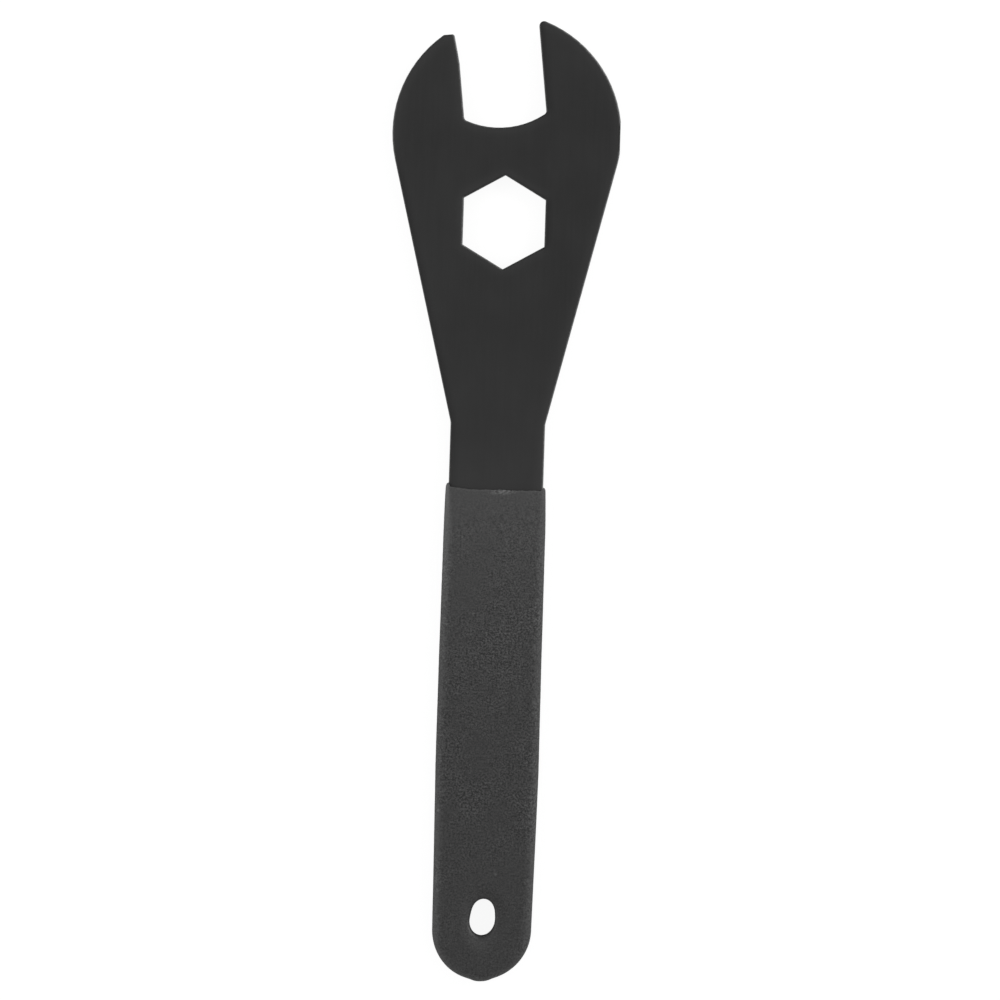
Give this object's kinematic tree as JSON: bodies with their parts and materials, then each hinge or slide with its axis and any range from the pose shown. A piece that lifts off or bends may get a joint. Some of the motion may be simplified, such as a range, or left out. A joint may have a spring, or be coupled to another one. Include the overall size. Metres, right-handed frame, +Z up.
{
  "type": "cone wrench",
  "caption": "Flat cone wrench: a thin black steel blade with an open leaning jaw and a closed hexagon, and a dipped black grip with a hang hole.",
  "frame": {"origin": "on the surface the wrench lies on, under the handle's centreline, half way along the wrench", "axes": "+Y along the handle towards the open jaw, +Z up through the plate's thickness, +X across the blade"},
  "size_m": [0.0474, 0.2002, 0.004],
  "materials": {
    "blade": "satin black oxide",
    "grip": "fine-grained dipped vinyl"
  },
  "bodies": {
    "root": {"blade": "blade", "grip": "grip"}
  },
  "joints": []
}
